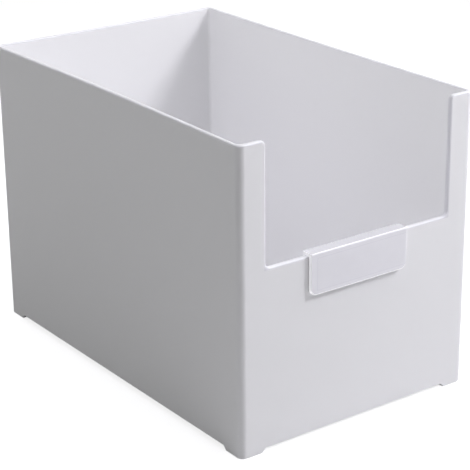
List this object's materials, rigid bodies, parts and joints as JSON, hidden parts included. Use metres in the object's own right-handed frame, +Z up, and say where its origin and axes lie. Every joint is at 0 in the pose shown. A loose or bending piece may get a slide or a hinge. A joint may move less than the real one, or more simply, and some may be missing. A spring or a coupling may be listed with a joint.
{
  "type": "stackable storage box",
  "caption": "Open-topped rectangular storage box with a deep cut-out front, flush corner feet and a clip-on frosted label holder that hangs on the cut-out's sill.",
  "frame": {"origin": "middle of the whole object's footprint, on the plane that the feet stand on", "axes": "+X to the box's right as its front is faced, +Y from the front to the rear, +Z up; the front opening and the label holder are on the -Y side"},
  "size_m": [0.17, 0.2674, 0.187],
  "materials": {
    "shell_plastic": "satin white moulded plastic with a faint lavender-grey cast",
    "frosted_plastic": "frosted translucent moulded plastic",
    "card": "uncoated blank label card"
  },
  "bodies": {
    "box": {"box": "shell_plastic"},
    "holder": {"label_holder": "frosted_plastic"},
    "card": {"label_card": "card"}
  },
  "joints": [
    {"name": "holder_lift", "type": "slide", "parent": "box", "child": "holder", "axis": [0, 0, 1], "range_m": [0, 0.1]},
    {"name": "card_slide", "type": "slide", "parent": "holder", "child": "card", "axis": [1, 0, 0], "range_m": [0, 0.07]}
  ]
}
